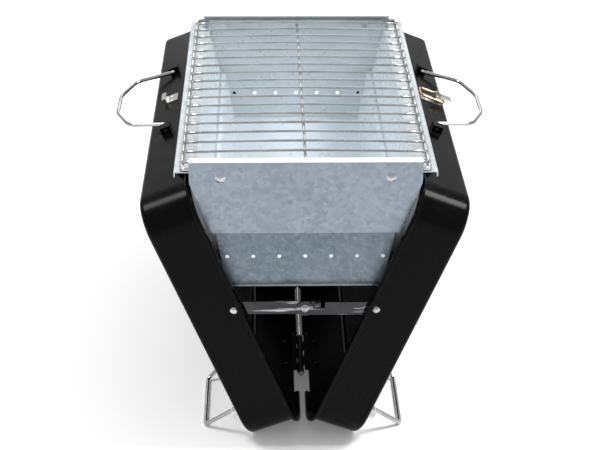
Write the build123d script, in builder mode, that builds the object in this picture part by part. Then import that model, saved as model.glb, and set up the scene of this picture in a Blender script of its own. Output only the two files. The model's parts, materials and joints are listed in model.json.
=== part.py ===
"""Folding suitcase barbecue: two tray-shaped shells hinged along the bottom, standing open in a V,
with a galvanised firebox hung between them, a wire grate, wire legs, wire handles and a toggle latch.

Millimetres. The origin is on the floor under the middle of the case, +Y runs away from the cook along
the case, +Z is up. "side" is -1 for the left shell and +1 for the right one.
"""
from build123d import *
from math import acos, atan2, cos, radians, sin, tan
import os

os.makedirs("parts", exist_ok=True)

# ------------------------------------------------------------------ driving dimensions
case_length = 440.0  # along Y, over the end walls
case_height = 264.0  # from the hinge-side wall to the handle-side wall
shell_depth = 49.0  # rim to big face
sheet = 1.0  # steel sheet of the shells
corner_radius = 30.0
edge_radius = 5.0
open_angle = 21.66  # lean of each shell from upright
bead_out = 3.5  # rolled rim: how far it stands out of the wall
bead_deep = 4.0

ground_gap = 1.52  # lower edge of the shells above the floor
hinge_rise = 6.25  # pin to the hinge-side wall, up the rim plane
rim_gap = 1.6  # between the rims of the closed case
pin_radius = 1.5
hinge_length = 66.0
hinge_inset = 136.0  # end wall to the middle of each hinge
window_length = 107.0  # notch in the rim round each hinge
window_inset = 116.5

front_inset = 8.85  # end wall to the outer face of the front plate
back_inset = 57.5
plate = 1.0  # galvanised sheet
flange_rise = 25.93  # top of the two end plates above the rims
flange_fold = 9.5
rim_clearance = 0.49  # end plates to the rims at the top
foot_overlap = 0.26  # end plates behind the rims at their lower edge
hopper_deep = 68.1  # flange to lower edge
taper_drop = 19.4
wing_drop = 9.2  # flange to the side wings that carry the grate
wing_out = 13.0
lip_cutback = 40.0  # the wing lips stand on the shells only between these ends

tray_clearance = 5.5  # hopper to tray, each side
tray_taper = 9.5
tray_deep = 54.1
air_hole = 1.8
air_holes = 7
air_hole_pitch = 22.8
air_hole_rise = 30.3

grate_wire = 1.75
rung_wire = 1.25
grate_inset = 6.5
rungs = 18
first_rung_in = 12.5
last_rung_in = 18.94

link_width = 13.0
link_sheet = 1.5
brace_up = 143.0  # brace rivet from the hinge-side wall
brace_in = 8.0  # brace rivet from the rim

handle_wire = 2.0
handle_span = 66.0  # half the distance between the arms
handle_reach = 51.0
handle_in = 29.0
handle_y = 10.5
handle_tilt = 13.0  # how far it stands off the sloping wall

leg_wire = 2.0
leg_inset = 70.5
leg_up = 32.0  # pivot from the hinge-side wall
leg_span = 50.0  # half the distance between the pivots
foot_half = 38.5
foot_out = 28.7  # pivot to foot bar, sideways

latch_y = 13.0
fit = 0.05  # radial running clearance

# ------------------------------------------------------------------ derived sizes
lean = radians(open_angle)
rim_x = hinge_rise * sin(lean) + rim_gap / 2 * cos(lean)
rim_z = ground_gap + edge_radius * (1 - cos(lean)) + (shell_depth - edge_radius) * sin(lean)
pin_height = rim_z - hinge_rise * cos(lean) + rim_gap / 2 * sin(lean)
rim_top_x = rim_x + case_height * sin(lean)
rim_top_z = rim_z + case_height * cos(lean)
case_end = case_length / 2
hinge_at = case_end - hinge_inset
window_at = case_end - window_inset
leg_at = case_end - leg_inset
firebox_front = front_inset - case_end
firebox_back = case_end - back_inset
firebox_mid = (firebox_front + firebox_back) / 2
flange_z = rim_top_z + flange_rise
hopper_taper_z = flange_z - taper_drop
hopper_foot_z = flange_z - hopper_deep
wing_z = flange_z - wing_drop
hopper_top = rim_top_x - rim_clearance
hopper_foot = rim_x + (hopper_foot_z - rim_z) * tan(lean) + foot_overlap
wing_half = hopper_top + wing_out
lip_z = rim_top_z - (wing_half - rim_top_x) * tan(lean) + 1.2
tray_top = hopper_foot - tray_clearance
tray_foot = tray_top - tray_taper
tray_foot_z = hopper_foot_z - tray_deep
air_hole_z = tray_foot_z + air_hole_rise
grate_half = wing_half - grate_inset
rung_pitch = (firebox_back - firebox_front - first_rung_in - last_rung_in) / (rungs - 1)


def shell_plane(side, along=0.0, up=0.0, out=0.0):
    """Plane square to a shell: z out to the big face, y up the rim plane, x along the case."""
    up_dir = Vector(side * sin(lean), 0, cos(lean))
    out_dir = Vector(side * cos(lean), 0, -sin(lean))
    origin = Vector(side * rim_x, along, rim_z) + up_dir * up + out_dir * out
    return Plane(origin=origin, x_dir=(0, side, 0), z_dir=out_dir)


def wall_plane(side, along, out, up=case_height):
    """Plane on a shell's handle-side wall: z out of the wall, x along the case."""
    base = shell_plane(side, along, up, out)
    return Plane(origin=base.origin, x_dir=(0, 1, 0), z_dir=base.y_dir)


def face_plane(x, y, z, facing):
    """Upright plane whose z looks along -Y (facing -1) or +Y (facing +1), with y up."""
    return Plane(origin=(x, y, z), x_dir=(-facing, 0, 0), z_dir=(0, facing, 0))


def bent_wire(plane, points, radii):
    """Edges through the points, each inner corner rounded by its own radius."""
    path = [Vector(*p) for p in points]
    with BuildLine(plane) as wire:
        start = path[0]
        for before, corner, after, radius in zip(path, path[1:], path[2:], radii):
            inward = (before - corner).normalized()
            onward = (after - corner).normalized()
            half = acos(max(-1.0, min(1.0, inward.dot(onward)))) / 2
            first = corner + inward * (radius / tan(half))
            last = corner + onward * (radius / tan(half))
            middle = corner + (inward + onward).normalized() * (radius / sin(half) - radius)
            Line((start.X, start.Y), (first.X, first.Y))
            ThreePointArc((first.X, first.Y), (middle.X, middle.Y), (last.X, last.Y))
            start = last
        Line((start.X, start.Y), (path[-1].X, path[-1].Y))
    return wire.line


def wire_solid(line, radius):
    """Round wire swept along a line."""
    with BuildPart() as rod:
        with BuildSketch(Plane(origin=line @ 0, z_dir=line % 0)):
            Circle(radius)
        sweep(path=line)
    return rod.part


def rivet(grip, head, shank, shoulder=0.0, shoulder_radius=0.0, tail=0.0):
    """Domed rivet on Z: head above z=0, shank down through the grip, upset tail below it."""
    rise = head * 0.42
    ball = (head * head + rise * rise) / (2 * rise)
    half = atan2(head, ball - rise) / 2
    outline = [(head, 0), (shank, 0)]
    if shoulder:
        outline += [(shank, -sheet), (shoulder_radius, -sheet)]
        outline += [(shoulder_radius, -sheet - shoulder), (shank, -sheet - shoulder)]
    outline.append((shank, -grip))
    if tail:
        outline += [(shank * 1.6, -grip), (shank * 1.6, -grip - tail)]
    outline += [(0, -grip - tail), (0, rise)]
    crown = (ball * sin(half), rise - ball + ball * cos(half))
    with BuildPart() as body:
        with BuildSketch(Plane.XZ):
            with BuildLine():
                ThreePointArc((0, rise), crown, (head, 0))
                Polyline(*outline)
            make_face()
        revolve(axis=Axis.Z)
    return body.part


def copies(piece, planes):
    """The same piece stood on each plane, as one group."""
    return Compound(children=[plane.location * piece for plane in planes])


def save(part, label):
    """Name one node and write its file."""
    part.label = label
    export_step(part, f"parts/{label}.step")


# ------------------------------------------------------------------ where things are fastened
def hinge_rivet_planes(side):
    """Inner face of the hinge-side wall, two rivets to a leaf; z looks into the shell."""
    spots = [end * hinge_at + step * 20.0 for end in (-1, 1) for step in (-1, 1)]
    return [wall_plane(side, along, 14.0, up=sheet) for along in spots]


def brace_rivet_planes(side):
    """Outer face of the two end walls."""
    planes = []
    for end in (-1, 1):
        spot = shell_plane(side, end * case_end, brace_up, brace_in).origin
        planes.append(face_plane(spot.X, spot.Y, spot.Z, end))
    return planes


def plate_rivet_planes():
    """Outer faces of the firebox end plates."""
    planes = []
    for end, y in ((-1, firebox_front), (1, firebox_back)):
        planes += [face_plane(x, y, flange_z - 14.6, end) for x in (26.8 - hopper_top, hopper_top - 26.8)]
    return planes


def latch_rivet_planes():
    return [wall_plane(1, latch_y + step * 5.0, 27.0).offset(1.0) for step in (-1, 1)]


def catch_rivet_planes():
    return [wall_plane(-1, latch_y + step * 5.0, 28.0).offset(1.0) for step in (-1, 1)]


def leg_pivots():
    return [end * leg_at + step * (leg_span + 7.0) for end in (-1, 1) for step in (-1, 1)]


def clip_rivet_planes(side):
    """Outer face of the clip plates on the big face."""
    planes = []
    for along in leg_pivots():
        for step in (-8.0, 8.0):
            planes.append(shell_plane(side, along, leg_up + step, shell_depth + 1.2))
    return planes


# ------------------------------------------------------------------ shells
def make_shell(side):
    """Deep-drawn half of the case with a rolled rim, hinge windows and handle pockets."""
    base = shell_plane(side, up=case_height / 2)
    outward = Axis(base.origin, base.z_dir)
    with BuildPart() as bead:
        with BuildSketch(base):
            RectangleRounded(
                case_length + 2 * bead_out, case_height + 2 * bead_out, corner_radius + bead_out
            )
            RectangleRounded(case_length, case_height, corner_radius, mode=Mode.SUBTRACT)
        extrude(amount=bead_deep)
        rings = bead.faces().sort_by(outward)
        rolled = rings[0].outer_wire().edges() + rings[-1].outer_wire().edges()
        fillet(rolled, bead_deep / 2 - 0.2)
    with BuildPart() as shell:
        with BuildSketch(base):
            RectangleRounded(case_length, case_height, corner_radius)
        extrude(amount=shell_depth)
        fillet(shell.faces().sort_by(outward)[-1].edges(), edge_radius)
        offset(amount=-sheet, openings=shell.faces().sort_by(outward)[0])
        add(bead.part)
        for end in (-1, 1):
            with Locations(shell_plane(side, end * window_at, -1.5, 2.0).location):
                Box(window_length, 5.2, 5.2, mode=Mode.SUBTRACT)
        for end in (-1, 1):
            pocket = wall_plane(side, handle_y + end * (handle_span + 9.0), handle_in)
            with Locations(pocket.location):
                Box(11.0, 10.0, 6.6, align=(Align.CENTER, Align.CENTER, Align.MIN))
            with Locations(pocket.offset(3.2).location):
                Cylinder(handle_wire + fit, 30.0, rotation=(0, 90, 0), mode=Mode.SUBTRACT)
        holes = [(hinge_rivet_planes(side), 2.0), (brace_rivet_planes(side), 2.5)]
        holes.append((clip_rivet_planes(side), 1.5))
        holes.append((latch_rivet_planes() if side > 0 else catch_rivet_planes(), 1.5))
        for planes, radius in holes:
            with Locations(*[plane.location for plane in planes]):
                Cylinder(radius, 7.0, mode=Mode.SUBTRACT)
    return shell.part


save(make_shell(-1), "left_shell")
save(make_shell(1), "right_shell")


# ------------------------------------------------------------------ hinges
knuckles = 5
knuckle_length = hinge_length / knuckles


def make_leaf(side, end):
    """Leaf under the hinge-side wall, its knuckles taking turns with the other leaf's."""
    mid = end * hinge_at
    with BuildPart() as leaf:
        with Locations(shell_plane(side, mid, -0.6, 13.0).location):
            Box(hinge_length, 1.2, 24.0)
        for i in range(knuckles):
            if (i % 2 == 0) == (side < 0):
                at = mid - hinge_length / 2 + (i + 0.5) * knuckle_length
                length = knuckle_length - 0.3
                with Locations(shell_plane(side, at, -3.0, 1.6).location):
                    Box(length, 6.0, 1.2)
                with Locations(shell_plane(side, at, -hinge_rise, 0.4).location):
                    Box(length, 2.0, 3.2)
                with Locations((0, at, pin_height)):
                    Cylinder(3.0, length, rotation=(90, 0, 0))
        with Locations((0, mid, pin_height)):
            Cylinder(pin_radius + fit, hinge_length + 4, rotation=(90, 0, 0), mode=Mode.SUBTRACT)
        with Locations(*[plane.location for plane in hinge_rivet_planes(side)]):
            Cylinder(2.0, 9.0, mode=Mode.SUBTRACT)
    return leaf.part


for side, hand in ((-1, "left"), (1, "right")):
    for end, place in ((-1, "front"), (1, "rear")):
        save(make_leaf(side, end), f"{place}_hinge_{hand}_leaf")
    hinge_rivet = rivet(grip=sheet + 1.2, head=3.6, shank=2.0, tail=1.2)
    save(copies(hinge_rivet, hinge_rivet_planes(side)), f"{hand}_hinge_rivets")

with BuildPart() as hinge_pin:
    with Locations((0, 0, pin_height)):
        Cylinder(pin_radius, 2 * hinge_at + hinge_length + 1.0, rotation=(90, 0, 0))
    for end in (-1, 1):
        with Locations((0, end * (hinge_at + hinge_length / 2 + 1.0), pin_height)):
            Cylinder(2.6, 1.4, rotation=(90, 0, 0))
save(hinge_pin.part, "hinge_pin")


# ------------------------------------------------------------------ folding brace at each end
brace_spot = shell_plane(1, 0, brace_up, brace_in).origin
link_reach = brace_spot.X
brace_z = brace_spot.Z
front_gap = 3.0  # end wall's outer face to the right-hand link
back_gap = front_gap + link_sheet + 0.2  # to the left-hand link


def make_right_link(end):
    """Link nearer the end wall: round end on the centre rivet, notched for the stop tab."""
    at = end * (case_end - front_gap)
    with BuildPart() as link:
        with BuildSketch(face_plane(0, at, brace_z, end)):
            with Locations((-end * link_reach / 2, 0)):
                SlotCenterToCenter(link_reach, link_width)
            with Locations((-end * 9.0, 4.2)):
                Rectangle(18.0, 7.0, mode=Mode.SUBTRACT)
            Circle(7.5)
            Circle(2.5 + fit, mode=Mode.SUBTRACT)
            with Locations((-end * link_reach, 0)):
                Circle(2.5, mode=Mode.SUBTRACT)
        extrude(amount=-link_sheet)
    return link.part


def make_left_link(end):
    """Link behind it, its short tail carrying the tab that stops the brace when straight."""
    at = end * (case_end - back_gap)
    with BuildPart() as link:
        with BuildSketch(face_plane(0, at, brace_z, end)):
            with Locations((end * (link_reach - 14.0) / 2, 0)):
                SlotOverall(link_reach + 14.0 + link_width, link_width)
            with Locations((-end * 17.5, 0)):
                Rectangle(7.0, 20.0, mode=Mode.SUBTRACT)
            with Locations((end * link_reach, 0)):
                Circle(2.5 + fit, mode=Mode.SUBTRACT)
            Circle(2.5, mode=Mode.SUBTRACT)
        extrude(amount=-link_sheet)
        with BuildSketch(face_plane(0, at, brace_z, end)):
            with Locations((-end * 11.3, 3.3)):
                Rectangle(5.4, 4.4)
        extrude(amount=link_sheet + 0.2)
    return link.part


for end, place in ((-1, "front"), (1, "rear")):
    save(make_left_link(end), f"{place}_brace_left_link")
    save(make_right_link(end), f"{place}_brace_right_link")
    centre_spot = face_plane(0, end * (case_end - front_gap + 0.05), brace_z, end)
    centre_rivet = rivet(grip=2 * link_sheet + 0.25, head=3.9, shank=2.5, tail=1.2)
    save(centre_spot.location * centre_rivet, f"{place}_brace_rivet")

left_grip = back_gap + link_sheet + 0.05
left_rivet = rivet(left_grip, 3.4, 2.5, back_gap - sheet - 0.05, 4.0, tail=1.2)
right_rivet = rivet(front_gap - 0.1, 3.4, 2.5, front_gap - sheet - 0.3, 4.0)
save(copies(left_rivet, brace_rivet_planes(-1)), "left_brace_end_rivets")
save(copies(right_rivet, brace_rivet_planes(1)), "right_brace_end_rivets")


# ------------------------------------------------------------------ firebox
def make_end_plate(y, end):
    """Galvanised end plate, its top edge folded in over the end of the grate."""
    with BuildPart() as panel:
        with BuildSketch(face_plane(0, y, 0, end)):
            with BuildLine():
                Polyline(
                    (-hopper_top, flange_z),
                    (hopper_top, flange_z),
                    (hopper_top, hopper_taper_z),
                    (hopper_foot, hopper_foot_z),
                    (-hopper_foot, hopper_foot_z),
                    (-hopper_top, hopper_taper_z),
                    close=True,
                )
            make_face()
        extrude(amount=-plate)
        with Locations((0, y - end * flange_fold / 2, flange_z - plate / 2)):
            Box(2 * hopper_top, flange_fold, plate)
        with Locations(*[plane.location for plane in plate_rivet_planes()]):
            Cylinder(1.8, 2.4, mode=Mode.SUBTRACT)
    return panel.part


save(make_end_plate(firebox_front, -1), "front_plate")
save(make_end_plate(firebox_back, 1), "back_plate")

side_front = firebox_front + plate
side_back = firebox_back - plate
side_length = side_back - side_front


def make_side_plate(side):
    """Sloping hopper side: lip for the tray at its foot, wing for the grate at its top."""
    with BuildPart() as panel:
        with BuildSketch(Plane(origin=(0, side_front, 0), x_dir=(1, 0, 0), z_dir=(0, -1, 0))):
            with BuildLine() as profile:
                Polyline(
                    (side * (tray_top + 1.1), hopper_foot_z + plate / 2),
                    (side * (hopper_foot - 1.0), hopper_foot_z + plate / 2),
                    (side * (hopper_top - 6.0), hopper_taper_z - 1.0),
                    (side * (hopper_top - 6.0), wing_z - plate / 2),
                    (side * (wing_half - plate / 2), wing_z - plate / 2),
                    (side * (wing_half - plate / 2), lip_z),
                )
                offset(amount=plate / 2, side=Side.BOTH)
            make_face()
        extrude(amount=-side_length)
        for y in (side_front + plate / 2, side_back - plate / 2):
            with Locations((side * (hopper_top - 20.0), y, flange_z - 15.0)):
                Box(27.4, plate, 9.4)
        for y in (side_front, side_back):
            with Locations((side * (wing_half - plate / 2), y, wing_z - 20.0)):
                Box(4.0, 2 * lip_cutback, 30.0, mode=Mode.SUBTRACT)
        with Locations(*[plane.location for plane in plate_rivet_planes()]):
            Cylinder(1.8, 5.0, mode=Mode.SUBTRACT)
    return panel.part


save(make_side_plate(-1), "left_side_plate")
save(make_side_plate(1), "right_side_plate")
plate_rivet = rivet(grip=2 * plate, head=4.5, shank=1.8, tail=0.9)
save(copies(plate_rivet, plate_rivet_planes()), "firebox_rivets")

# ------------------------------------------------------------------ charcoal tray
tray_mouth_z = hopper_foot_z + plate + 0.15
tray_length = side_length - 1.0
tray_mid = (side_front + side_back) / 2
with BuildPart() as charcoal_tray:
    with BuildSketch(Plane(origin=(0, tray_mid, tray_foot_z), z_dir=(0, 0, 1))):
        Rectangle(2 * tray_foot, tray_length)
    with BuildSketch(Plane(origin=(0, tray_mid, tray_mouth_z), z_dir=(0, 0, 1))):
        Rectangle(2 * tray_top, tray_length)
    loft()
    offset(amount=-plate, openings=charcoal_tray.faces().sort_by(Axis.Z)[-1])
    for side in (-1, 1):
        with Locations((side * (tray_top + 1.0), tray_mid, tray_mouth_z + plate / 2)):
            Box(4.0, tray_length - 4.0, plate)
    for end in (-1, 1):
        with Locations((0, tray_mid + end * tray_length / 2, air_hole_z)):
            with GridLocations(air_hole_pitch, 1, air_holes, 1):
                Cylinder(air_hole, 6.0, rotation=(90, 0, 0), mode=Mode.SUBTRACT)
save(charcoal_tray.part, "charcoal_tray")

# ------------------------------------------------------------------ cooking grate
grate_front = side_front + grate_wire + 0.25
grate_back = side_back - grate_wire - 0.25
grate_z = wing_z + grate_wire + 0.1
rung_z = grate_z + grate_wire + rung_wire - 0.5
with BuildPart() as cooking_grate:
    for side in (-1, 1):
        half_frame = [(side * 0.1, grate_back), (side * grate_half, grate_back)]
        half_frame += [(side * grate_half, grate_front), (side * 0.1, grate_front)]
        add(wire_solid(bent_wire(Plane.XY.offset(grate_z), half_frame, (5, 5)), grate_wire))
    with Locations((0, (grate_front + grate_back) / 2, grate_z)):
        Cylinder(rung_wire, grate_back - grate_front, rotation=(90, 0, 0))
    first_rung = firebox_front + first_rung_in
    for i in range(rungs):
        with Locations((0, first_rung + i * rung_pitch, rung_z)):
            Cylinder(rung_wire, 2 * grate_half + 1.0, rotation=(0, 90, 0))
save(cooking_grate.part, "cooking_grate")


# ------------------------------------------------------------------ handles
def make_handle(side):
    """Bowed wire loop hooked into the two pockets, lying outward over the wall."""
    pivot = wall_plane(side, handle_y, handle_in).offset(3.2)
    tilt = radians(handle_tilt)
    flat = shell_plane(side, 0, 0, 0)
    reach = flat.z_dir * cos(tilt) + flat.y_dir * sin(tilt)
    normal = Vector(0, 1, 0).cross(reach)
    lie = Plane(origin=pivot.origin, x_dir=(0, 1, 0), z_dir=normal)
    s, r = handle_span, handle_reach
    points = [(-s - 9, 0), (-s, 0), (-s + 12, r * 0.74), (-22, r), (22, r), (s - 12, r * 0.74)]
    points += [(s, 0), (s + 9, 0)]
    return wire_solid(bent_wire(lie, points, (4, 14, 34, 34, 14, 4)), handle_wire)


save(make_handle(-1), "left_handle")
save(make_handle(1), "right_handle")


# ------------------------------------------------------------------ legs
def make_leg(side, end):
    """Wire leg: foot bar on the floor, two splayed arms, stubs turned into the clips."""
    pivot = shell_plane(side, end * leg_at, leg_up, shell_depth + 4.2).origin
    down = Vector(side * foot_out, 0, leg_wire - pivot.Z)
    length = down.length
    normal = Vector(0, 1, 0).cross(down.normalized())
    lie = Plane(origin=pivot, x_dir=(0, 1, 0), z_dir=normal)
    points = [(-leg_span - 11, 0), (-leg_span, 0), (-foot_half, length)]
    points += [(foot_half, length), (leg_span, 0), (leg_span + 11, 0)]
    return wire_solid(bent_wire(lie, points, (3, 5, 5, 3)), leg_wire)


def make_clips(side):
    """Saddle clips on the big face, one to each leg stub."""
    with BuildPart() as clip:
        Box(8.0, 22.0, 1.2, align=(Align.CENTER, Align.CENTER, Align.MIN))
        with Locations((0, 0, 1.2)):
            Box(8.0, 9.0, 6.0, align=(Align.CENTER, Align.CENTER, Align.MIN))
        fillet(clip.faces().sort_by(Axis.Z)[-1].edges().filter_by(Axis.X), 3.0)
        with Locations((0, 0, 4.2)):
            Cylinder(leg_wire + fit, 10.0, rotation=(0, 90, 0), mode=Mode.SUBTRACT)
        with Locations((0, -8.0, 0), (0, 8.0, 0)):
            Cylinder(1.5, 5.0, mode=Mode.SUBTRACT)
    spots = [shell_plane(side, along, leg_up, shell_depth) for along in leg_pivots()]
    return copies(clip.part, spots)


clip_rivet = rivet(grip=1.2 + sheet, head=2.6, shank=1.5, tail=0.9)
for side, hand in ((-1, "left"), (1, "right")):
    for end, place in ((-1, "front"), (1, "rear")):
        save(make_leg(side, end), f"{place}_{hand}_leg")
    save(make_clips(side), f"{hand}_leg_clips")
    save(copies(clip_rivet, clip_rivet_planes(side)), f"{hand}_clip_rivets")

# ------------------------------------------------------------------ toggle latch and its catch
latch_in = 38.0  # pin from the rim
latch_pin_up = 5.0
ear_at = 7.0
latch_seat = wall_plane(1, latch_y, latch_in)
into_case = 1 if latch_seat.y_dir.X < 0 else -1  # local y that points to the rim

with BuildPart() as latch_base:
    with Locations(latch_seat.location):
        with Locations((0, into_case * 6.0, 0)):
            Box(17.0, 22.0, 1.0, align=(Align.CENTER, Align.CENTER, Align.MIN))
        for step in (-1, 1):
            with Locations((step * ear_at, 0, 0)):
                Box(1.2, 7.0, latch_pin_up, align=(Align.CENTER, Align.CENTER, Align.MIN))
            with Locations((step * ear_at, 0, latch_pin_up)):
                Cylinder(3.5, 1.2, rotation=(0, 90, 0))
        with Locations((0, 0, latch_pin_up)):
            Cylinder(1.25, 30.0, rotation=(0, 90, 0), mode=Mode.SUBTRACT)
    with Locations(*[plane.location for plane in latch_rivet_planes()]):
        Cylinder(1.5, 5.0, mode=Mode.SUBTRACT)
save(latch_base.part, "latch_base")

with BuildPart() as latch_pin:
    with Locations(latch_seat.offset(latch_pin_up).location):
        Cylinder(1.25, 2 * ear_at + 1.2, rotation=(0, 90, 0))
        for step in (-1, 1):
            with Locations((step * (ear_at + 1.0), 0, 0)):
                Cylinder(1.9, 0.8, rotation=(0, 90, 0))
save(latch_pin.part, "latch_pin")

bail_in = 6.0  # bail pivot from the latch pin, on the lever
with BuildPart() as latch_lever:
    with Locations(latch_seat.offset(latch_pin_up).location):
        for step in (-1, 1):
            with Locations((step * 5.3, -into_case * 5.0, 0)):
                Box(1.0, 14.0, 5.6)
        with Locations((0, -into_case * 9.0, 2.3)):
            Box(11.6, 12.0, 1.0)
        with Locations((0, -into_case * 15.5, 3.4)):
            Box(11.6, 4.0, 1.0, rotation=(into_case * -28, 0, 0))
        Cylinder(1.25 + fit, 30.0, rotation=(0, 90, 0), mode=Mode.SUBTRACT)
        with Locations((0, -into_case * bail_in, 0)):
            Cylinder(1.0 + fit, 30.0, rotation=(0, 90, 0), mode=Mode.SUBTRACT)
save(latch_lever.part, "latch_lever")

bail_seat = latch_seat.offset(latch_pin_up)
bail_plane = Plane(origin=bail_seat.origin, x_dir=(0, 1, 0), z_dir=bail_seat.z_dir)
heel = -into_case * bail_in
toe = into_case * 19.0
for_bail = [(-5.0, heel), (-9.8, heel), (-9.8, toe), (9.8, toe), (9.8, heel), (5.0, heel)]
bail_line = bent_wire(bail_plane, for_bail, (1.6, 4.0, 4.0, 1.6))
save(wire_solid(bail_line, 1.0), "latch_bail")

latch_rivet = rivet(grip=1.0 + sheet, head=2.4, shank=1.5, tail=0.9)
save(copies(latch_rivet, latch_rivet_planes()), "latch_rivets")

catch_seat = wall_plane(-1, latch_y, 28.0)
into_rim = 1 if catch_seat.y_dir.X > 0 else -1
with BuildPart() as catch_plate:
    with Locations(catch_seat.location):
        Box(17.0, 12.0, 1.0, align=(Align.CENTER, Align.CENTER, Align.MIN))
        with Locations((0, -into_rim * 5.4, 0)):
            Box(17.0, 1.2, 5.0, align=(Align.CENTER, Align.CENTER, Align.MIN))
        with Locations((0, -into_rim * 7.0, 4.4)):
            Box(17.0, 4.4, 1.2, align=(Align.CENTER, Align.CENTER, Align.MIN))
    with Locations(*[plane.location for plane in catch_rivet_planes()]):
        Cylinder(1.5, 5.0, mode=Mode.SUBTRACT)
save(catch_plate.part, "catch_plate")
save(copies(latch_rivet, catch_rivet_planes()), "catch_rivets")
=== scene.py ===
"""Looks of a folding suitcase barbecue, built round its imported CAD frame.

The shells, hinges, handles, legs, latch and rivets keep their CAD shapes and get procedural
finishes. The plates, the tray and the brace strips are welded copies with rounded edges. The cooking
grate, with its weld beads, is a new mesh. Everything is in metres, in the frame of the CAD model.
"""

from __future__ import annotations

import json
import logging
import math
from dataclasses import dataclass, field
from enum import Enum

import bmesh
import bpy
from mathutils import Matrix, Vector

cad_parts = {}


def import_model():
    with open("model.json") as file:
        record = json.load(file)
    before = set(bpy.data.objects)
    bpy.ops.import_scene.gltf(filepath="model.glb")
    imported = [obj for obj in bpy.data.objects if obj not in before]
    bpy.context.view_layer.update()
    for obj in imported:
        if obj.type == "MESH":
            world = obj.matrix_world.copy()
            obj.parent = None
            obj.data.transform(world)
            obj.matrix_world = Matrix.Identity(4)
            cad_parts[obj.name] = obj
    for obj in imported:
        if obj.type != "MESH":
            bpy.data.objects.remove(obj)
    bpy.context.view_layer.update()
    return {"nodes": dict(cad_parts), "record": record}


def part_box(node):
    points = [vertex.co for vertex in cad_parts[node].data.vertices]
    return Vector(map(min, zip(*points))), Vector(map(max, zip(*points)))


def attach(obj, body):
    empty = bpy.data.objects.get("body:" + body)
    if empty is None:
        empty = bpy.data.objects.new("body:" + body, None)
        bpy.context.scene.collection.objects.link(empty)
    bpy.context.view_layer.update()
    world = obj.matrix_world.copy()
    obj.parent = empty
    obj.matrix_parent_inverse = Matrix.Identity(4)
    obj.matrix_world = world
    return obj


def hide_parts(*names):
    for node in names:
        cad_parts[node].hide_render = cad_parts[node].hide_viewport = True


log = logging.getLogger("barbecue")

Colour = tuple[float, float, float]
Place = tuple[float, float, float]
Socket = bpy.types.NodeSocket
MM = 0.001

CAMERA_AT = (-0.036059, -1.315720, 0.816926)
CAMERA_LOOKS = (0.02489059, 0.88259669, -0.46947156)
CAMERA_RIGHT = (0.99967797, -0.02429606, 0.00732514)
CAMERA_LENS = 86.53


class Metal(Enum):
    """The bare metal finishes that a wire or fitting can have."""

    BRIGHT_WIRE = "bright_wire"
    GRATE_WIRE = "grate_wire"
    ZINC_STRIP = "zinc_strip"
    RIVET = "rivet"
    PRESSED = "pressed_fitting"
    BRASS = "yellow_wire"


# ---------------------------------------------------------------- node helpers
class Graph:
    """A shorthand for adding and joining nodes in one node tree."""

    def __init__(self, tree: bpy.types.NodeTree) -> None:
        """Keeps the tree that the nodes go in.

        Args:
            tree: the material's or group's node tree.
        """
        self.tree = tree

    def add(self, kind: str, label: str = "", **settings: object) -> bpy.types.Node:
        """Adds one node.

        Args:
            kind: the node's Blender type name.
            label: what the node is for.
            settings: properties to set on it.

        Returns:
            The new node.
        """
        node = self.tree.nodes.new(kind)
        node.label = label
        for name, value in settings.items():
            setattr(node, name, value)
        return node

    def join(self, source: Socket, target: Socket) -> None:
        """Links an output to an input."""
        self.tree.links.new(source, target)

    def noise(
        self, place: Socket, scale: float | Socket, detail: float = 3.0, rough: float = 0.5
    ) -> Socket:
        """Noise over the surface.

        Args:
            place: the coordinates.
            scale: how fine it is.
            detail: octaves.
            rough: how strong the fine octaves are.

        Returns:
            The noise's factor.
        """
        node = self.add("ShaderNodeTexNoise")
        node.inputs["Detail"].default_value = detail
        node.inputs["Roughness"].default_value = rough
        self.join(place, node.inputs["Vector"])
        if isinstance(scale, (int, float)):
            node.inputs["Scale"].default_value = scale
        else:
            self.join(scale, node.inputs["Scale"])
        return node.outputs["Fac"]

    def spread(self, value: Socket, low: float, high: float, to: tuple[float, float]) -> Socket:
        """Maps a range of a value to another range, clamped.

        Args:
            value: what is mapped.
            low: where the range starts.
            high: where it ends.
            to: what the two ends become.

        Returns:
            The mapped value.
        """
        node = self.add("ShaderNodeMapRange")
        node.inputs["From Min"].default_value = low
        node.inputs["From Max"].default_value = high
        node.inputs["To Min"].default_value = to[0]
        node.inputs["To Max"].default_value = to[1]
        self.join(value, node.inputs["Value"])
        return node.outputs["Result"]

    def blend(self, share: Socket, first: Colour | Socket, second: Colour | Socket) -> Socket:
        """Mixes two colours by a share.

        Args:
            share: 0 gives the first and 1 the second.
            first: the first colour, or where it comes from.
            second: the second one.

        Returns:
            The mixed colour.
        """
        node = self.add("ShaderNodeMix", data_type="RGBA")
        self.join(share, node.inputs[0])
        for index, colour in ((6, first), (7, second)):
            if isinstance(colour, tuple):
                node.inputs[index].default_value = (*colour, 1.0)
            else:
                self.join(colour, node.inputs[index])
        return node.outputs[2]

    def sum(self, kind: str, first: Socket, second: Socket | float) -> Socket:
        """One step of arithmetic.

        Args:
            kind: the Math node's operation.
            first: the left value.
            second: the right value.

        Returns:
            The result.
        """
        node = self.add("ShaderNodeMath", operation=kind)
        self.join(first, node.inputs[0])
        if isinstance(second, (int, float)):
            node.inputs[1].default_value = second
        else:
            self.join(second, node.inputs[1])
        return node.outputs[0]


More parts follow.
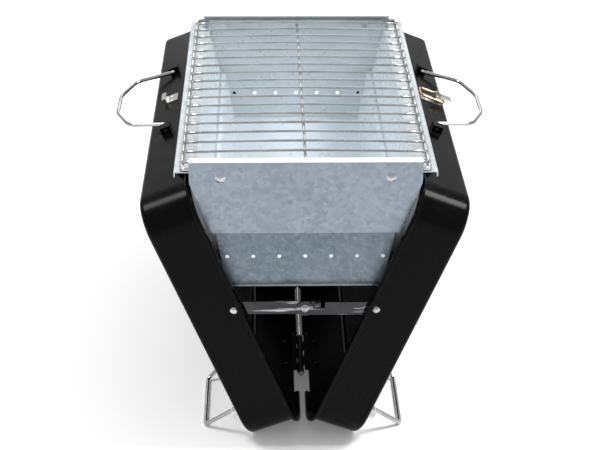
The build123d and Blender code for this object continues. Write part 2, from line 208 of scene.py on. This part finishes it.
def new_group(name: str, inputs: dict[str, float], outputs: dict[str, str]) -> bpy.types.NodeTree:
    """Starts a shader node group with named sockets.

    Args:
        name: the group's name.
        inputs: each number input's name and default.
        outputs: each output's name and socket type.

    Returns:
        The group's tree, with its input and output nodes named "in" and "out".
    """
    tree = bpy.data.node_groups.new(name, "ShaderNodeTree")
    for title, value in inputs.items():
        socket = tree.interface.new_socket(title, in_out="INPUT", socket_type="NodeSocketFloat")
        socket.default_value = value
    for title, kind in outputs.items():
        tree.interface.new_socket(title, in_out="OUTPUT", socket_type=kind)
    tree.nodes.new("NodeGroupInput").name = "in"
    tree.nodes.new("NodeGroupOutput").name = "out"
    return tree


def spangle_group() -> bpy.types.NodeTree:
    """Zinc crystals: flat cells that each catch the light a little differently.

    Returns:
        The group, with Tone and Facet outputs.
    """
    tree = new_group(
        "zinc_spangle",
        {"Crystals per metre": 260.0, "Contrast": 0.5},
        {"Tone": "NodeSocketFloat", "Facet": "NodeSocketFloat"},
    )
    graph = Graph(tree)
    place = graph.add("ShaderNodeTexCoord").outputs["Object"]
    warp = graph.add("ShaderNodeVectorMath", operation="MULTIPLY_ADD")
    ripple = graph.add("ShaderNodeTexNoise")
    ripple.inputs["Scale"].default_value = 180.0
    graph.join(place, ripple.inputs["Vector"])
    graph.join(ripple.outputs["Color"], warp.inputs[0])
    warp.inputs[1].default_value = (0.004, 0.004, 0.004)
    graph.join(place, warp.inputs[2])
    cells = graph.add("ShaderNodeTexVoronoi", feature="F1")
    graph.join(warp.outputs[0], cells.inputs["Vector"])
    source = tree.nodes["in"]
    graph.join(source.outputs["Crystals per metre"], cells.inputs["Scale"])
    split = graph.add("ShaderNodeSeparateColor")
    graph.join(cells.outputs["Color"], split.inputs["Color"])
    centred = graph.sum("SUBTRACT", split.outputs[0], 0.5)
    tone = graph.sum("MULTIPLY", centred, source.outputs["Contrast"])
    result = tree.nodes["out"]
    graph.join(graph.sum("ADD", tone, 0.5), result.inputs["Tone"])
    graph.join(split.outputs[1], result.inputs["Facet"])
    return tree


def grain_group() -> bpy.types.NodeTree:
    """Fine grain with slow drift over it, for paint skin and rolled metal.

    Returns:
        The group, with Grain, Drift and Height outputs.
    """
    tree = new_group(
        "surface_grain",
        {"Grain per metre": 900.0, "Drift per metre": 14.0, "Drawn along": 1.0},
        {"Grain": "NodeSocketFloat", "Drift": "NodeSocketFloat", "Height": "NodeSocketFloat"},
    )
    graph = Graph(tree)
    source, result = tree.nodes["in"], tree.nodes["out"]
    place = graph.add("ShaderNodeTexCoord").outputs["Object"]
    pulled = graph.add("ShaderNodeVectorMath", operation="MULTIPLY")
    stretch = graph.add("ShaderNodeCombineXYZ")
    stretch.inputs["Y"].default_value = 1.0
    stretch.inputs["Z"].default_value = 1.0
    graph.join(source.outputs["Drawn along"], stretch.inputs["X"])
    graph.join(place, pulled.inputs[0])
    graph.join(stretch.outputs[0], pulled.inputs[1])
    grain = graph.noise(pulled.outputs[0], source.outputs["Grain per metre"], 2.0, 0.6)
    drift = graph.noise(place, source.outputs["Drift per metre"], 4.0, 0.55)
    graph.join(grain, result.inputs["Grain"])
    graph.join(drift, result.inputs["Drift"])
    graph.join(graph.sum("MULTIPLY", grain, 0.5), result.inputs["Height"])
    return tree


def handling_group() -> bpy.types.NodeTree:
    """Finger smears, light scuffs and settled dust.

    Returns:
        The group, with Smear, Scuff and Dust outputs.
    """
    tree = new_group(
        "handling_marks",
        {"Smear size": 9.0, "Amount": 0.5},
        {"Smear": "NodeSocketFloat", "Scuff": "NodeSocketFloat", "Dust": "NodeSocketFloat"},
    )
    graph = Graph(tree)
    source, result = tree.nodes["in"], tree.nodes["out"]
    place = graph.add("ShaderNodeTexCoord").outputs["Object"]
    smear = graph.noise(place, source.outputs["Smear size"], 5.0, 0.62)
    soft = graph.spread(smear, 0.46, 0.72, (0.0, 1.0))
    graph.join(graph.sum("MULTIPLY", soft, source.outputs["Amount"]), result.inputs["Smear"])
    wave = graph.add("ShaderNodeTexWave", wave_type="BANDS", bands_direction="DIAGONAL")
    wave.inputs["Scale"].default_value = 55.0
    wave.inputs["Distortion"].default_value = 18.0
    wave.inputs["Detail"].default_value = 3.0
    graph.join(place, wave.inputs["Vector"])
    scuff = graph.spread(wave.outputs["Fac"], 0.965, 1.0, (0.0, 1.0))
    graph.join(graph.sum("MULTIPLY", scuff, source.outputs["Amount"]), result.inputs["Scuff"])
    up = graph.add("ShaderNodeSeparateXYZ")
    graph.join(graph.add("ShaderNodeNewGeometry").outputs["Normal"], up.inputs[0])
    lying = graph.spread(up.outputs["Z"], 0.3, 1.0, (0.0, 1.0))
    specks = graph.spread(graph.noise(place, 60.0, 6.0, 0.7), 0.5, 0.75, (0.0, 1.0))
    graph.join(graph.sum("MULTIPLY", lying, specks), result.inputs["Dust"])
    return tree


@dataclass
class Effects:
    """The shared node groups, each made once."""

    spangle: bpy.types.NodeTree = field(default_factory=spangle_group)
    grain: bpy.types.NodeTree = field(default_factory=grain_group)
    handling: bpy.types.NodeTree = field(default_factory=handling_group)

    def place(self, graph: Graph, group: bpy.types.NodeTree, **values: float) -> bpy.types.Node:
        """Puts a group in a material with its own values.

        Args:
            graph: the material's nodes.
            group: which effect.
            values: inputs to set, with spaces in their names written as underscores.

        Returns:
            The group's node.
        """
        node = graph.add("ShaderNodeGroup", node_tree=group)
        for name, value in values.items():
            node.inputs[name.replace("_", " ")].default_value = value
        return node


def start_material(name: str) -> tuple[bpy.types.Material, Graph, bpy.types.Node]:
    """A new material with its nodes on.

    Args:
        name: the material's name.

    Returns:
        The material, its graph and its Principled shader.
    """
    material = bpy.data.materials.new(name)
    material.use_nodes = True
    return material, Graph(material.node_tree), material.node_tree.nodes["Principled BSDF"]


def add_bump(graph: Graph, shader: bpy.types.Node, height: Socket, strength: float, deep: float) -> None:
    """Feeds a height to the shader's normal.

    Args:
        graph: the material's nodes.
        shader: the Principled shader.
        height: the height.
        strength: how much of it shows.
        deep: the height of 1, in metres.
    """
    bump = graph.add("ShaderNodeBump")
    bump.inputs["Strength"].default_value = strength
    bump.inputs["Distance"].default_value = deep
    graph.join(height, bump.inputs["Height"])
    graph.join(bump.outputs["Normal"], shader.inputs["Normal"])


# ---------------------------------------------------------------- finishes
@dataclass(frozen=True)
class EnamelFinish:
    """Baked satin black paint over drawn steel."""

    name: str = "satin_black_enamel"
    colour: Colour = (0.0018, 0.0018, 0.0020)
    worn: Colour = (0.007, 0.007, 0.008)
    gloss: tuple[float, float] = (0.15, 0.23)
    peel: float = 0.07
    shine: float = 0.06

    def build(self, effects: Effects) -> bpy.types.Material:
        """Makes the material.

        Args:
            effects: the shared node groups.

        Returns:
            The material.
        """
        material, graph, shader = start_material(self.name)
        grain = effects.place(graph, effects.grain, Grain_per_metre=1500.0, Drift_per_metre=11.0)
        marks = effects.place(graph, effects.handling, Smear_size=8.0, Amount=0.35)
        base = graph.blend(marks.outputs["Scuff"], self.colour, self.worn)
        dusty = graph.sum("MULTIPLY", marks.outputs["Dust"], 0.08)
        tinted = graph.blend(dusty, base, (0.12, 0.118, 0.115))
        graph.join(tinted, shader.inputs["Base Color"])
        level = graph.spread(grain.outputs["Drift"], 0.3, 0.7, self.gloss)
        matt = graph.sum("MULTIPLY", marks.outputs["Smear"], 0.12)
        graph.join(graph.sum("ADD", level, matt), shader.inputs["Roughness"])
        shader.inputs["Specular IOR Level"].default_value = self.shine
        add_bump(graph, shader, grain.outputs["Height"], self.peel, 0.0006)
        return material


@dataclass(frozen=True)
class GalvanisedFinish:
    """Hot-dip zinc on sheet: cool grey crystals, rolled grain and finger smears, with painted light on
    inner and level faces and a painted dark reflection band at the foot.
    """

    name: str
    light: Colour = (0.29, 0.335, 0.385)
    dark: Colour = (0.175, 0.21, 0.245)
    crystals: float = 260.0
    contrast: float = 0.6
    gloss: tuple[float, float] = (0.26, 0.44)
    stain: float = 0.25
    metallic: float = 0.8
    # Pale colour painted on inner faces, and on level faces when asked, as light falling into the firebox.
    painted_inner_light: Colour = (0.74, 0.80, 0.84)
    middle: Place | None = None
    painted_top_light: bool = False
    foot: float = -1.0
    foot_deep: float = 9.0 * MM

    def build(self, effects: Effects) -> bpy.types.Material:
        """Makes the material.

        Args:
            effects: the shared node groups.

        Returns:
            The material.
        """
        material, graph, shader = start_material(self.name)
        zinc = effects.place(
            graph, effects.spangle, Crystals_per_metre=self.crystals, Contrast=self.contrast
        )
        grain = effects.place(graph, effects.grain, Grain_per_metre=700.0, Drift_per_metre=18.0)
        marks = effects.place(graph, effects.handling, Smear_size=16.0, Amount=self.stain)
        cells = graph.blend(zinc.outputs["Tone"], self.dark, self.light)
        drift = graph.spread(grain.outputs["Drift"], 0.3, 0.7, (0.0, 0.35))
        clouded = graph.blend(drift, cells, self.light)
        stained = graph.blend(marks.outputs["Smear"], clouded, (0.22, 0.25, 0.29))
        faint = graph.sum("MULTIPLY", marks.outputs["Scuff"], 0.2)
        wear_and_painted_light = graph.blend(faint, stained, (0.62, 0.66, 0.70))
        # A painted dark reflection band along the tray's foot.
        if self.foot > 0:
            wear_and_painted_light = self.paint_foot_reflection(graph, wear_and_painted_light)
        shader.inputs["Metallic"].default_value = self.metallic
        # Painted light: inner faces, and level faces when asked, get a pale, less metallic zinc for the
        # light from above.
        if self.middle:
            painted_light_share = self.facing_in(graph)
            if self.painted_top_light:
                painted_light_share = graph.sum("MAXIMUM", painted_light_share, self.facing_up(graph))
            wear_and_painted_light = graph.blend(graph.sum("MULTIPLY", painted_light_share, 0.85), wear_and_painted_light, self.painted_inner_light)
            graph.join(
                graph.spread(painted_light_share, 0.0, 1.0, (self.metallic, 0.25)), shader.inputs["Metallic"]
            )
        graph.join(wear_and_painted_light, shader.inputs["Base Color"])
        level = graph.spread(zinc.outputs["Facet"], 0.0, 1.0, self.gloss)
        dull = graph.sum("MULTIPLY", marks.outputs["Smear"], 0.3)
        graph.join(graph.sum("ADD", level, dull), shader.inputs["Roughness"])
        add_bump(graph, shader, zinc.outputs["Facet"], 0.10, 0.0004)
        return material


    def facing_in(self, graph: Graph) -> Socket:
        """Finds the faces that look into the firebox, where pale zinc paints the light falling in from
        above.

        Args:
            graph: the material's nodes.

        Returns:
            1 on the inner faces and 0 on the outer ones.
        """
        place = graph.add("ShaderNodeTexCoord")
        arm = graph.add("ShaderNodeVectorMath", operation="SUBTRACT")
        graph.join(place.outputs["Object"], arm.inputs[0])
        arm.inputs[1].default_value = self.middle
        toward = graph.add("ShaderNodeVectorMath", operation="DOT_PRODUCT")
        graph.join(arm.outputs[0], toward.inputs[0])
        graph.join(place.outputs["Normal"], toward.inputs[1])
        return graph.spread(toward.outputs["Value"], -0.012, 0.0, (1.0, 0.0))

    def facing_up(self, graph: Graph) -> Socket:
        """Finds the level faces, such as the folded flange, where pale zinc paints the overhead light.

        Args:
            graph: the material's nodes.

        Returns:
            1 on the level faces and 0 on the rest.
        """
        split = graph.add("ShaderNodeSeparateXYZ")
        graph.join(graph.add("ShaderNodeTexCoord").outputs["Normal"], split.inputs[0])
        return graph.spread(split.outputs["Z"], 0.75, 0.95, (0.0, 1.0))

    def paint_foot_reflection(self, graph: Graph, colour: Socket) -> Socket:
        """Paints a ragged dark reflection band along the lower edge, stopping just short of the edge
        itself.

        Args:
            graph: the material's nodes.
            colour: the colour without the band.

        Returns:
            The colour with the band on it.
        """
        place = graph.add("ShaderNodeTexCoord").outputs["Object"]
        split = graph.add("ShaderNodeSeparateXYZ")
        graph.join(place, split.inputs[0])
        rag = graph.noise(place, 55.0, 4.0, 0.65)
        wander = graph.sum("MULTIPLY", rag, 0.012)
        level = graph.sum("ADD", split.outputs["Z"], wander)
        top = self.foot + self.foot_deep
        low = graph.spread(level, top, top + 0.004, (1.0, 0.0))
        edge = graph.spread(split.outputs["Z"], self.foot + 0.0015, self.foot + 0.0025, (0.0, 1.0))
        share = graph.sum("MULTIPLY", graph.sum("MULTIPLY", low, edge), 0.8)
        # Dark blue-grey of the painted reflection band.
        return graph.blend(share, colour, (0.035, 0.042, 0.048))


@dataclass(frozen=True)
class BareMetalFinish:
    """Plated wire, strip or pressing."""

    name: str
    colour: Colour = (0.54, 0.54, 0.55)
    tarnish: Colour = (0.22, 0.22, 0.23)
    gloss: tuple[float, float] = (0.07, 0.18)
    drawn: float = 1.0
    grain: float = 800.0
    marked: float = 0.4
    # Strength of the dark painted reflection streaks.
    painted_reflection_streaks: float = 0.0

    def build(self, effects: Effects) -> bpy.types.Material:
        """Makes the material.

        Args:
            effects: the shared node groups.

        Returns:
            The material.
        """
        material, graph, shader = start_material(self.name)
        rolled = effects.place(
            graph, effects.grain, Grain_per_metre=self.grain, Drift_per_metre=30.0,
            Drawn_along=self.drawn,
        )
        marks = effects.place(graph, effects.handling, Smear_size=40.0, Amount=self.marked)
        duller = graph.spread(rolled.outputs["Drift"], 0.42, 0.75, (0.0, 0.7))
        tone = graph.blend(duller, self.colour, self.tarnish)
        marked = graph.blend(marks.outputs["Smear"], tone, self.tarnish)
        # Painted reflection: dark streaks drawn along the strip stand in for dark surroundings mirrored in
        # the plating.
        if self.painted_reflection_streaks:
            dark = graph.spread(rolled.outputs["Grain"], 0.55, 0.70, (self.painted_reflection_streaks, 0.0))
            marked = graph.blend(dark, marked, (0.02, 0.02, 0.022))
        graph.join(marked, shader.inputs["Base Color"])
        level = graph.spread(rolled.outputs["Grain"], 0.25, 0.75, self.gloss)
        dull = graph.sum("MULTIPLY", marks.outputs["Smear"], 0.2)
        graph.join(graph.sum("ADD", level, dull), shader.inputs["Roughness"])
        shader.inputs["Metallic"].default_value = 1.0
        add_bump(graph, shader, rolled.outputs["Height"], 0.08, 0.0003)
        return material


@dataclass
class Paintbox:
    """Every finish of the barbecue, made once."""

    tray_foot: float
    middle: Place
    effects: Effects = field(default_factory=Effects)
    made: dict[str, bpy.types.Material] = field(default_factory=dict)

    def __post_init__(self) -> None:
        """Builds the materials."""
        finishes = [
            EnamelFinish(),
            EnamelFinish(
                name="black_hinge_paint", colour=(0.012, 0.012, 0.013), gloss=(0.28, 0.4)
            ),
            # The plates' level flanges also get painted light.
            GalvanisedFinish(name="galvanised_plate", middle=self.middle, painted_top_light=True),
            # Lighter zinc than the plates: painted light on the side plates and their level wings.
            GalvanisedFinish(
                name="galvanised_wing", light=(0.50, 0.54, 0.57), dark=(0.37, 0.41, 0.44),
                middle=self.middle,
            ),
            # Darker zinc than the plates: painted shade cast on the tray by the hopper plates above it.
            GalvanisedFinish(
                name="galvanised_tray",
                light=(0.155, 0.195, 0.23),
                dark=(0.085, 0.11, 0.135),
                stain=0.5,
                middle=self.middle,
                foot=self.tray_foot,
            ),
            BareMetalFinish(Metal.BRIGHT_WIRE.value, drawn=0.25),
            BareMetalFinish(
                Metal.GRATE_WIRE.value,
                colour=(0.60, 0.61, 0.60),
                tarnish=(0.34, 0.34, 0.33),
                gloss=(0.14, 0.28),
            ),
            BareMetalFinish(
                Metal.ZINC_STRIP.value,
                colour=(0.55, 0.56, 0.58),
                tarnish=(0.20, 0.21, 0.23),
                gloss=(0.08, 0.2),
                drawn=0.1,
                grain=240.0,
                painted_reflection_streaks=0.95,
            ),
            BareMetalFinish(Metal.RIVET.value, gloss=(0.2, 0.34)),
            BareMetalFinish(Metal.PRESSED.value, colour=(0.66, 0.64, 0.62), gloss=(0.14, 0.3)),
            BareMetalFinish(
                Metal.BRASS.value, colour=(0.62, 0.40, 0.27), tarnish=(0.30, 0.19, 0.13)
            ),
        ]
        for finish in finishes:
            self.made[finish.name] = finish.build(self.effects)

    def dress(self, piece: bpy.types.Object, name: str) -> None:
        """Gives a piece one finish all over.

        Args:
            piece: the mesh.
            name: the finish's name.
        """
        piece.data.materials.clear()
        piece.data.materials.append(self.made[name])


# ---------------------------------------------------------------- mesh helpers
def rod_along(
    bm: bmesh.types.BMesh, line: list[Vector], radius: float, sides: int = 10, closed: bool = False
) -> None:
    """A round wire through the points.

    Args:
        bm: the mesh being made.
        line: the wire's centre line; a closed one leaves out its repeated first point.
        radius: its radius.
        sides: how many flats it has round it.
        closed: whether the last point joins the first.
    """
    count = len(line)
    rings: list[list[bmesh.types.BMVert]] = []
    side = None
    for i, here in enumerate(line):
        after = line[(i + 1) % count] if closed or i + 1 < count else None
        before = line[i - 1] if closed or i else None
        onward = (after - here).normalized() if after is not None else None
        inward = (here - before).normalized() if before is not None else onward
        onward = onward or inward
        facing = (inward + onward).normalized()
        widen = 1.0 / max(0.5, facing.dot(inward))
        if side is None:
            side = facing.orthogonal().normalized()
        side = (side - facing * side.dot(facing)).normalized()
        other = facing.cross(side)
        bend = inward.cross(onward)
        ring = []
        for step in range(sides):
            turn = 2 * math.pi * step / sides
            arm = side * math.cos(turn) + other * math.sin(turn)
            if bend.length > 1e-6:
                outward = bend.cross(facing).normalized()
                arm += outward * arm.dot(outward) * (widen - 1.0)
            ring.append(bm.verts.new(here + arm * radius))
        rings.append(ring)
    pairs = list(zip(rings, rings[1:]))
    if closed:
        pairs.append((rings[-1], rings[0]))
    for first, second in pairs:
        for step in range(sides):
            following = (step + 1) % sides
            bm.faces.new((first[step], first[following], second[following], second[step]))
    if not closed:
        bm.faces.new(list(reversed(rings[0])))
        bm.faces.new(rings[-1])


def as_piece(bm: bmesh.types.BMesh, name: str, smooth: bool = True) -> bpy.types.Object:
    """Turns a bmesh into an object at the origin.

    Args:
        bm: the finished mesh, which is freed.
        name: the piece's name.
        smooth: whether its faces shade smoothly.

    Returns:
        The object.
    """
    bmesh.ops.remove_doubles(bm, verts=bm.verts, dist=1e-7)
    bmesh.ops.recalc_face_normals(bm, faces=bm.faces)
    for face in bm.faces:
        face.smooth = smooth
    mesh = bpy.data.meshes.new(name)
    bm.to_mesh(mesh)
    bm.free()
    piece = bpy.data.objects.new(name, mesh)
    bpy.context.scene.collection.objects.link(piece)
    return piece


# ---------------------------------------------------------------- cooking grate
@dataclass
class CookingGrate:
    """Welded wire grate: a frame, bowed rungs across it and one wire down the middle."""

    paint: Paintbox
    frame_wire: float = 1.75 * MM
    rung_wire: float = 1.25 * MM
    rungs: int = 18
    rung_pitch: float = 20.13 * MM
    first_rung: float = 12.5 * MM
    bow: float = 1.6 * MM
    corner: float = 5.0 * MM

    def __post_init__(self) -> None:
        """Reads where the CAD grate lies."""
        self.low, self.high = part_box("cooking_grate")
        plate_low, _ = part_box("front_plate")
        self.start = plate_low.y + self.first_rung
        self.frame_z = self.low.z + self.frame_wire
        self.rung_z = self.high.z - self.rung_wire - 0.3 * MM

    def frame_line(self) -> list[Vector]:
        """The frame wire's centre line.

        Returns:
            Points once round.
        """
        wire = self.frame_wire
        left, right = self.low.x + wire, self.high.x - wire
        front, back = self.low.y + wire, self.high.y - wire
        corners = [(right, back, 0), (left, back, 90), (left, front, 180), (right, front, 270)]
        line = []
        for x, y, begin in corners:
            cx = x - math.copysign(self.corner, x)
            cy = y - math.copysign(self.corner, y - (front + back) / 2)
            for step in range(7):
                turn = math.radians(begin + step * 15)
                spot = (cx + self.corner * math.cos(turn), cy + self.corner * math.sin(turn))
                line.append(Vector((*spot, self.frame_z)))
        return line

    def build(self) -> bpy.types.Object:
        """Makes the grate and rides it on its body.

        Returns:
            The grate.
        """
        bm = bmesh.new()
        rod_along(bm, self.frame_line(), self.frame_wire, 12, closed=True)
        half = self.high.x - self.frame_wire * 0.6
        for i in range(self.rungs):
            y = self.start + i * self.rung_pitch
            line = []
            for step in range(17):
                share = step / 8 - 1
                lift = self.bow * (1 - abs(share) ** 1.6)
                line.append(Vector((share * half, y, self.rung_z + lift)))
            rod_along(bm, line, self.rung_wire, 10)
        ends = (self.low.y + self.frame_wire, self.high.y - self.frame_wire)
        middle = []
        for step in range(25):
            share = step / 24
            rise = min(1.0, 6 * share, 6 * (1 - share))
            y = ends[0] + share * (ends[1] - ends[0])
            level = self.frame_z + rise * (self.rung_z + self.bow - 2.1 * MM - self.frame_z)
            middle.append(Vector((0.0, y, level)))
        rod_along(bm, middle, self.rung_wire, 10)
        for i in range(self.rungs):
            y = self.start + i * self.rung_pitch
            spots = [(side * (self.high.x - self.frame_wire), self.frame_z + 1.6 * MM) for side in (-1, 1)]
            spots.append((0.0, self.rung_z + self.bow - 1.0 * MM))
            for x, z in spots:
                blob = bmesh.ops.create_icosphere(bm, subdivisions=1, radius=1.0)["verts"]
                bmesh.ops.scale(bm, verts=blob, vec=(1.5 * MM, 1.9 * MM, 1.1 * MM))
                bmesh.ops.translate(bm, verts=blob, vec=(x, y, z))
        piece = as_piece(bm, "wire_grate")
        self.paint.dress(piece, Metal.GRATE_WIRE.value)
        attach(piece, "grate")
        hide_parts("cooking_grate")
        return piece


@dataclass
class Workshop:
    """The loaded CAD nodes, and what turns one into a finished piece."""

    paint: Paintbox
    nodes: dict[str, bpy.types.Object]
    bodies: dict[str, list[str]]

    def keep(self, node: str, finish: str) -> None:
        """Paints a CAD node and leaves its shape as it is.

        Args:
            node: the node's name.
            finish: the finish's name.
        """
        self.paint.dress(self.nodes[node], finish)
        log.info("painted %s with %s", node, finish)

    def body_of(self, node: str) -> str:
        """Finds the body that carries a node.

        Args:
            node: the node's name.

        Returns:
            The body's name.
        """
        return next(body for body, carried in self.bodies.items() if node in carried)

    def soften(self, node: str, finish: str, edge: float) -> bpy.types.Object:
        """Replaces a CAD node by a welded copy whose sheared edges are rounded.

        Args:
            node: the node's name.
            finish: the finish's name.
            edge: the radius of the rounding.

        Returns:
            The copy.
        """
        bm = bmesh.new()
        bm.from_mesh(self.nodes[node].data)
        for layer in list(bm.loops.layers.float_vector.values()):
            bm.loops.layers.float_vector.remove(layer)
        bmesh.ops.remove_doubles(bm, verts=bm.verts, dist=2e-6)
        bmesh.ops.dissolve_limit(
            bm, angle_limit=math.radians(0.6), verts=bm.verts, edges=bm.edges, delimit={"NORMAL"}
        )
        piece = as_piece(bm, f"{node}_softened")
        for name in [item.name for item in piece.data.attributes if "custom_normal" in item.name]:
            piece.data.attributes.remove(piece.data.attributes[name])
        piece.data.set_sharp_from_angle(angle=math.radians(35))
        bevel = piece.modifiers.new("sheared_edges", "BEVEL")
        bevel.width = edge
        bevel.segments = 2
        bevel.limit_method = "ANGLE"
        bevel.angle_limit = math.radians(50)
        self.paint.dress(piece, finish)
        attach(piece, self.body_of(node))
        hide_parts(node)
        log.info("softened %s, %d faces", node, len(piece.data.polygons))
        return piece


@dataclass
class CaseShell:
    """One tray-shaped half of the case, with the rivets that go through it."""

    shop: Workshop
    hand: str

    def build(self) -> None:
        """Paints the shell and brightens its rivets."""
        self.shop.keep(f"{self.hand}_shell", "satin_black_enamel")
        self.shop.keep(f"{self.hand}_brace_end_rivets", Metal.RIVET.value)
        self.shop.keep(f"{self.hand}_clip_rivets", Metal.RIVET.value)


@dataclass
class HingeSet:
    """The pin along the bottom and its four painted leaves."""

    shop: Workshop

    def build(self) -> None:
        """Paints the leaves, their rivets and the pin."""
        for end in ("front", "rear"):
            for hand in ("left", "right"):
                self.shop.keep(f"{end}_hinge_{hand}_leaf", "black_hinge_paint")
        for hand in ("left", "right"):
            self.shop.keep(f"{hand}_hinge_rivets", "black_hinge_paint")
        self.shop.keep("hinge_pin", Metal.PRESSED.value)


@dataclass
class FoldingBrace:
    """Two zinc strips that meet on a rivet and hold the case open."""

    shop: Workshop
    end: str
    edge: float = 0.2 * MM

    def build(self) -> None:
        """Rounds the strips and paints the rivet."""
        for hand in ("left", "right"):
            self.shop.soften(f"{self.end}_brace_{hand}_link", Metal.ZINC_STRIP.value, self.edge)
        self.shop.keep(f"{self.end}_brace_rivet", Metal.RIVET.value)


@dataclass
class Firebox:
    """The galvanised hopper: end plates hung on their flanges and sloping sides with wings."""

    shop: Workshop
    edge: float = 0.22 * MM

    def build(self) -> None:
        """Rounds the four plates and paints the rivets."""
        for node in ("front_plate", "back_plate"):
            self.shop.soften(node, "galvanised_plate", self.edge)
        for node in ("left_side_plate", "right_side_plate"):
            self.shop.soften(node, "galvanised_wing", self.edge)
        self.shop.keep("firebox_rivets", Metal.RIVET.value)


@dataclass
class CharcoalTray:
    """The loose tray under the hopper, with a row of air holes in each end."""

    shop: Workshop
    edge: float = 0.22 * MM

    def build(self) -> None:
        """Rounds the tray's sheared edges."""
        self.shop.soften("charcoal_tray", "galvanised_tray", self.edge)


@dataclass
class CarryHandle:
    """The swinging wire handle of one shell."""

    shop: Workshop
    hand: str

    def build(self) -> None:
        """Paints the wire."""
        self.shop.keep(f"{self.hand}_handle", Metal.BRIGHT_WIRE.value)


@dataclass
class WireLegs:
    """The two folding feet of one shell and the clips that hold them."""

    shop: Workshop
    hand: str

    def build(self) -> None:
        """Paints the wires and clips."""
        for end in ("front", "rear"):
            self.shop.keep(f"{end}_{self.hand}_leg", Metal.BRIGHT_WIRE.value)
        self.shop.keep(f"{self.hand}_leg_clips", Metal.PRESSED.value)


@dataclass
class ToggleLatch:
    """The lever and loop on the right shell, and the hook that it catches on the left one."""

    shop: Workshop

    def build(self) -> None:
        """Paints the latch and its catch."""
        for node in ("latch_base", "latch_lever", "latch_pin", "catch_plate"):
            self.shop.keep(node, Metal.PRESSED.value)
        for node in ("latch_rivets", "catch_rivets"):
            self.shop.keep(node, Metal.RIVET.value)
        self.shop.keep("latch_bail", Metal.BRASS.value)


# ---------------------------------------------------------------- studio
@dataclass
class Studio:
    """Pale floor, soft light and the camera."""

    camera_at: Vector = field(default_factory=lambda: Vector(CAMERA_AT))
    looking: Vector = field(default_factory=lambda: Vector(CAMERA_LOOKS))
    across: Vector = field(default_factory=lambda: Vector(CAMERA_RIGHT))
    lens: float = CAMERA_LENS

    def floor(self) -> None:
        """A wide plain floor."""
        bm = bmesh.new()
        bmesh.ops.create_grid(bm, x_segments=1, y_segments=1, size=6.0)
        piece = as_piece(bm, "floor", smooth=False)
        material, _, shader = start_material("pale_floor")
        shader.inputs["Base Color"].default_value = (0.92, 0.92, 0.92, 1.0)
        shader.inputs["Roughness"].default_value = 0.9
        shader.inputs["Specular IOR Level"].default_value = 0.1
        shader.inputs["Emission Color"].default_value = (1.0, 1.0, 1.0, 1.0)
        shader.inputs["Emission Strength"].default_value = 0.12
        piece.data.materials.append(material)

    def lamp(self, name: str, at: Place, aim: Place, size: float, power: float) -> None:
        """One large soft light.

        Args:
            name: what it is.
            at: where it hangs.
            aim: what it points at.
            size: its side.
            power: its power in watts.
        """
        data = bpy.data.lights.new(name, "AREA")
        data.shape = "SQUARE"
        data.size = size
        data.energy = power
        lamp = bpy.data.objects.new(name, data)
        lamp.location = at
        lamp.rotation_euler = (Vector(aim) - Vector(at)).to_track_quat("-Z", "Y").to_euler()
        bpy.context.scene.collection.objects.link(lamp)

    def light(self) -> None:
        """A white surround, three soft boxes and plain display colours."""
        world = bpy.data.worlds.new("white_surround")
        bpy.context.scene.world = world
        world.use_nodes = True
        sky = world.node_tree.nodes["Background"]
        sky.inputs["Color"].default_value = (1.0, 1.0, 1.0, 1.0)
        sky.inputs["Strength"].default_value = 0.62
        bpy.context.scene.view_settings.view_transform = "Standard"
        self.lamp("left_box", (-1.15, 0.0, 1.85), (0.0, 0.0, 0.15), 0.6, 22.0)
        self.lamp("right_box", (1.15, 0.0, 1.85), (0.0, 0.0, 0.15), 0.6, 38.0)
        self.lamp("rear_box", (0.0, 2.3, 1.15), (0.0, 0.0, 0.2), 1.5, 9.0)

    def camera(self) -> None:
        """The camera, placed by its own axes."""
        data = bpy.data.cameras.new("camera")
        data.sensor_width = 36.0
        data.lens = self.lens
        camera = bpy.data.objects.new("camera", data)
        look, right = self.looking.normalized(), self.across.normalized()
        up = right.cross(look)
        camera.matrix_world = Matrix.Translation(self.camera_at) @ Matrix(
            (right, up, -look)
        ).transposed().to_4x4()
        bpy.context.scene.collection.objects.link(camera)
        bpy.context.scene.camera = camera


def main() -> None:
    """Builds the looks in order."""
    logging.basicConfig(level=logging.INFO, format="%(name)s: %(message)s")
    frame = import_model()
    tray_low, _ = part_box("charcoal_tray")
    front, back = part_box("front_plate")[0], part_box("back_plate")[1]
    middle = (0.0, (front.y + back.y) / 2, front.z + 0.5 * (back.z - front.z))
    paint = Paintbox(tray_foot=tray_low.z, middle=middle)
    bodies = frame["record"]["behaviour"]["bodies"]
    shop = Workshop(paint, frame["nodes"], bodies)
    studio = Studio()
    studio.camera()
    parts = [HingeSet(shop), Firebox(shop), CharcoalTray(shop), ToggleLatch(shop)]
    parts += [FoldingBrace(shop, end) for end in ("front", "rear")]
    for hand in ("left", "right"):
        parts += [CaseShell(shop, hand), CarryHandle(shop, hand), WireLegs(shop, hand)]
    for part in parts:
        part.build()
    grate = CookingGrate(paint).build()
    log.info("built %s with %d faces", grate.name, len(grate.data.polygons))
    studio.floor()
    studio.light()


if __name__ == "__main__":
    main()
